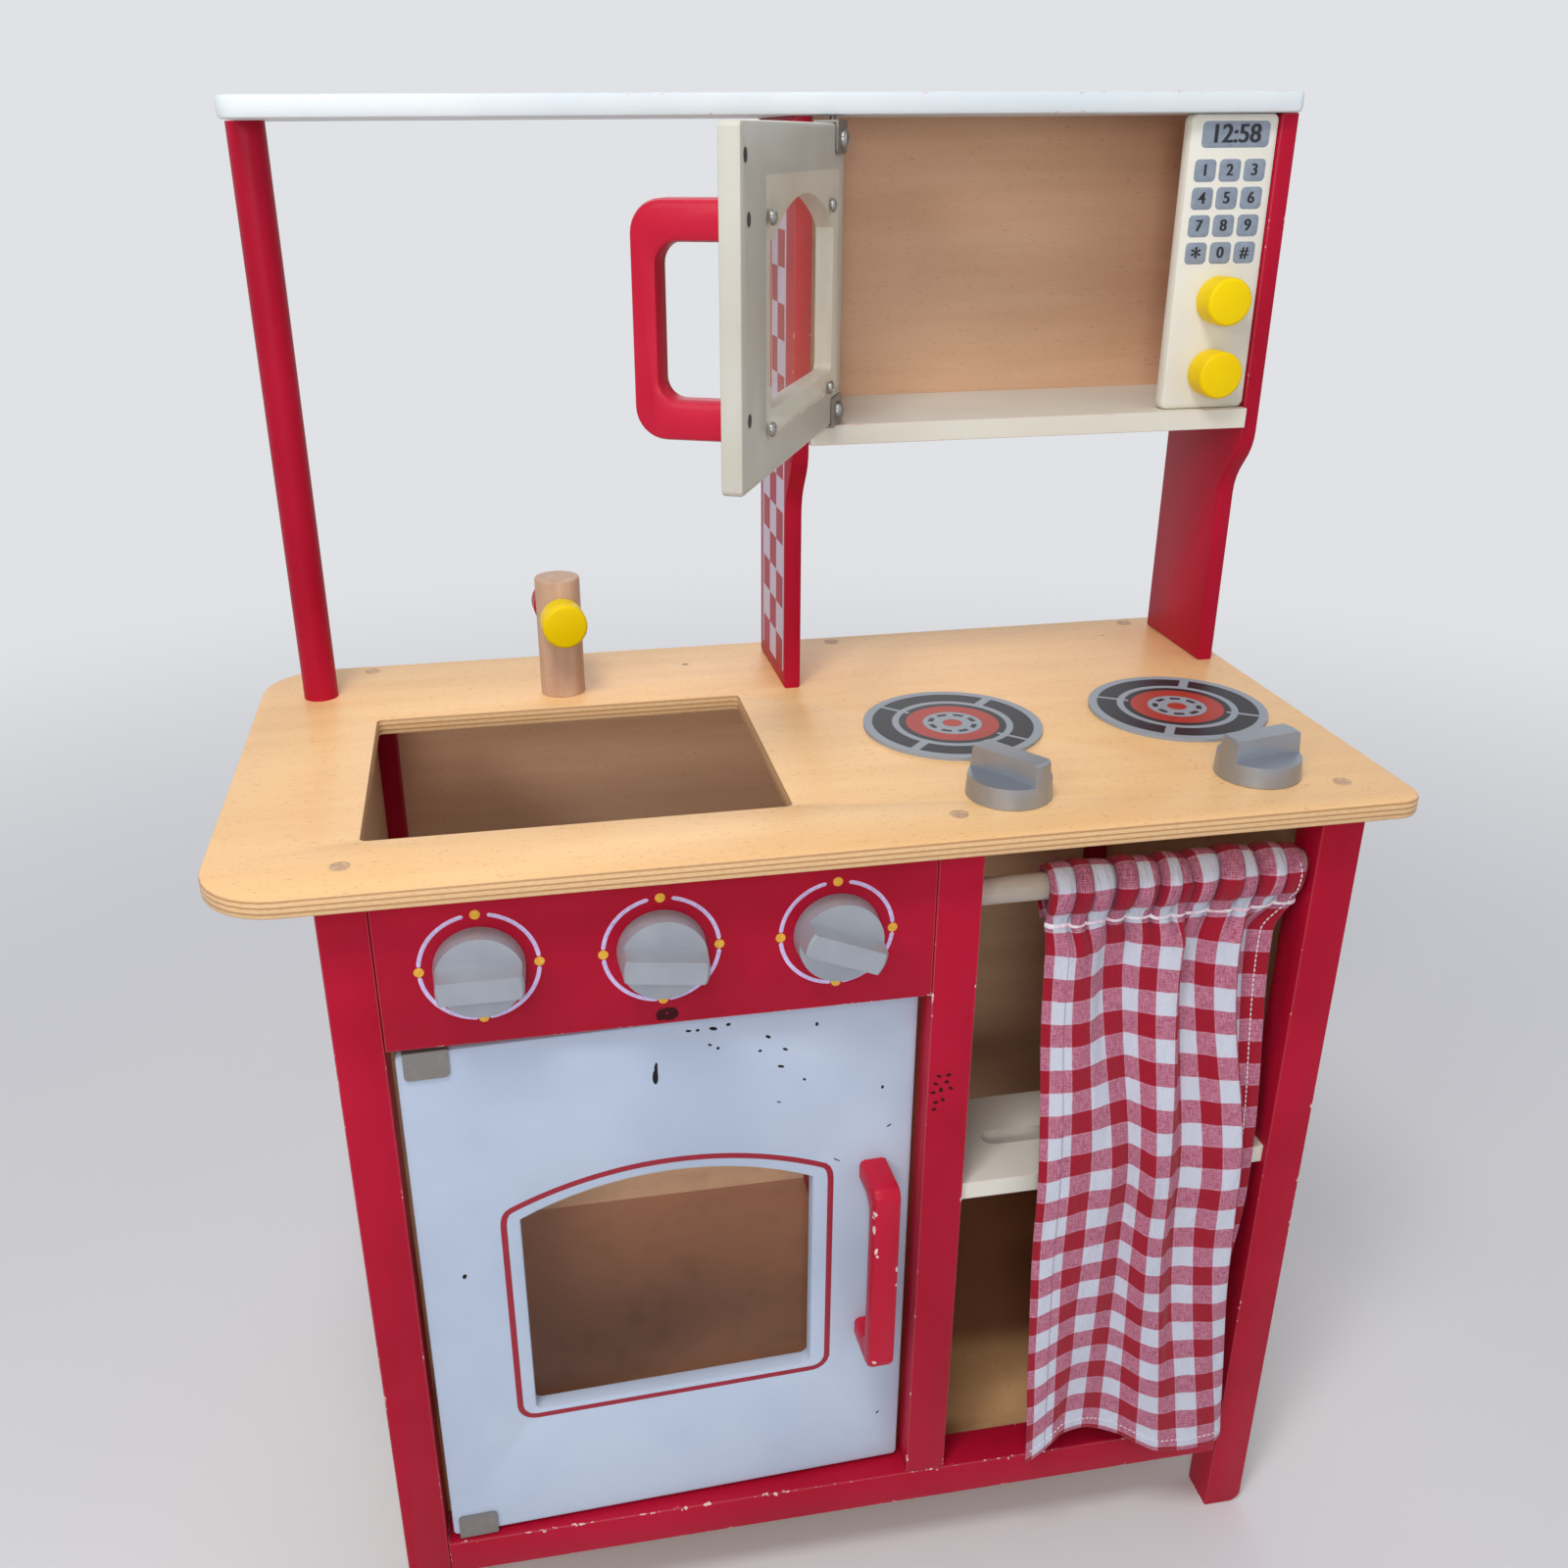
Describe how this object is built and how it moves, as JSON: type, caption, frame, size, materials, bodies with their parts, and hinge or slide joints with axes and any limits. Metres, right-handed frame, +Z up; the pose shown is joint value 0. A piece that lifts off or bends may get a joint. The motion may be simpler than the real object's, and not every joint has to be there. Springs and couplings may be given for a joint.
{
  "type": "wooden toy kitchen",
  "caption": "Free-standing wooden play kitchen with an oven, a microwave, an open sink, a hob, a tap and a curtained cupboard.",
  "frame": {"origin": "middle of the bounding box at rest, on the floor under the legs", "axes": "+X to the viewer's right along the worktop, +Y from the front to the back, +Z up"},
  "size_m": [0.6, 0.3178, 0.8374],
  "materials": {
    "red_paint": "satin paint",
    "white_paint": "satin paint",
    "natural_wood": "sanded",
    "ply_wood": "clear varnish",
    "pale_wood": "sanded",
    "yellow_paint": "gloss paint",
    "silver_plastic": "metallic satin",
    "steel": "plain",
    "hob_print": "printed",
    "clear_plastic": "clear",
    "gingham": "woven check"
  },
  "bodies": {
    "cabinet": {"leg_front_left": "red_paint", "leg_front_right": "red_paint", "leg_back_left": "red_paint", "leg_back_right": "red_paint", "front_stile": "red_paint", "back_post": "red_paint", "bottom_rail": "red_paint", "control_panel": "red_paint", "post_left": "red_paint", "upright_middle": "red_paint", "upright_right": "red_paint", "side_panel_left": "natural_wood", "side_panel_right": "natural_wood", "partition": "natural_wood", "floor_panel": "natural_wood", "back_panel": "natural_wood", "back_board_left": "natural_wood", "back_board_right": "natural_wood", "microwave_back": "natural_wood", "cupboard_shelf": "white_paint", "microwave_floor": "white_paint", "keypad_panel": "white_paint", "top_board": "white_paint", "worktop": "ply_wood", "curtain_rod": "pale_wood", "hob_disc_left": "hob_print", "hob_disc_right": "hob_print"},
    "oven_door": {"oven_door": "white_paint", "oven_window": "clear_plastic", "oven_handle": "red_paint", "oven_hinge_top": "steel", "oven_hinge_bottom": "steel"},
    "microwave_door": {"microwave_door": "white_paint", "microwave_window": "clear_plastic", "microwave_handle": "red_paint", "microwave_hinge_top": "steel", "microwave_hinge_bottom": "steel"},
    "curtain": {"curtain": "gingham"},
    "tap": {"tap_post": "natural_wood", "tap_axle": "natural_wood"},
    "tap_knob_yellow": {"tap_knob_yellow": "yellow_paint"},
    "tap_knob_red": {"tap_knob_red": "red_paint"},
    "oven_knob_left": {"oven_knob_left": "silver_plastic", "oven_knob_left_shaft": "steel"},
    "oven_knob_middle": {"oven_knob_middle": "silver_plastic", "oven_knob_middle_shaft": "steel"},
    "oven_knob_right": {"oven_knob_right": "silver_plastic", "oven_knob_right_shaft": "steel"},
    "hob_knob_left": {"hob_knob_left": "silver_plastic", "hob_knob_left_shaft": "steel"},
    "hob_knob_right": {"hob_knob_right": "silver_plastic", "hob_knob_right_shaft": "steel"},
    "microwave_knob_lower": {"microwave_knob_lower": "yellow_paint", "microwave_knob_lower_shaft": "steel"},
    "microwave_knob_upper": {"microwave_knob_upper": "yellow_paint", "microwave_knob_upper_shaft": "steel"}
  },
  "joints": [
    {"name": "oven_door_hinge", "type": "hinge", "parent": "cabinet", "child": "oven_door", "pos_m": [-0.2138, -0.1276, 0.243], "axis": [0, 0, -1], "range_deg": [0, 105]},
    {"name": "microwave_door_hinge", "type": "hinge", "parent": "cabinet", "child": "microwave_door", "pos_m": [0.0337, 0.0519, 0.748], "axis": [0, 0, 1], "range_deg": [-10, 115.5]},
    {"name": "oven_knob_left_turn", "type": "hinge", "parent": "cabinet", "child": "oven_knob_left", "pos_m": [-0.1765, -0.1361, 0.45675], "axis": [0, -1, 0], "continuous": true},
    {"name": "oven_knob_middle_turn", "type": "hinge", "parent": "cabinet", "child": "oven_knob_middle", "pos_m": [-0.0892, -0.1361, 0.45675], "axis": [0, -1, 0], "continuous": true},
    {"name": "oven_knob_right_turn", "type": "hinge", "parent": "cabinet", "child": "oven_knob_right", "pos_m": [-0.0019, -0.1361, 0.45675], "axis": [0, -1, 0], "continuous": true},
    {"name": "hob_knob_left_turn", "type": "hinge", "parent": "cabinet", "child": "hob_knob_left", "pos_m": [0.0944, -0.1046, 0.51], "axis": [0, 0, 1], "continuous": true},
    {"name": "hob_knob_right_turn", "type": "hinge", "parent": "cabinet", "child": "hob_knob_right", "pos_m": [0.2305, -0.1046, 0.51], "axis": [0, 0, 1], "continuous": true},
    {"name": "microwave_knob_lower_turn", "type": "hinge", "parent": "cabinet", "child": "microwave_knob_lower", "pos_m": [0.2574, 0.0519, 0.6917], "axis": [0, -1, 0], "continuous": true},
    {"name": "microwave_knob_upper_turn", "type": "hinge", "parent": "cabinet", "child": "microwave_knob_upper", "pos_m": [0.2574, 0.0519, 0.7313], "axis": [0, -1, 0], "continuous": true},
    {"name": "tap_turn", "type": "hinge", "parent": "cabinet", "child": "tap", "pos_m": [-0.1193, 0.0909, 0.51], "axis": [0, 0, 1], "continuous": true},
    {"name": "tap_knob_yellow_turn", "type": "hinge", "parent": "tap", "child": "tap_knob_yellow", "pos_m": [-0.1193, 0.0909, 0.559], "axis": [0.0732, -0.9973, 0], "continuous": true},
    {"name": "tap_knob_red_turn", "type": "hinge", "parent": "tap", "child": "tap_knob_red", "pos_m": [-0.1193, 0.0909, 0.559], "axis": [-0.0732, 0.9973, 0], "continuous": true},
    {"name": "curtain_slide", "type": "slide", "parent": "cabinet", "child": "curtain", "axis": [1, 0, 0], "range_m": [-0.03, 0.002]}
  ]
}
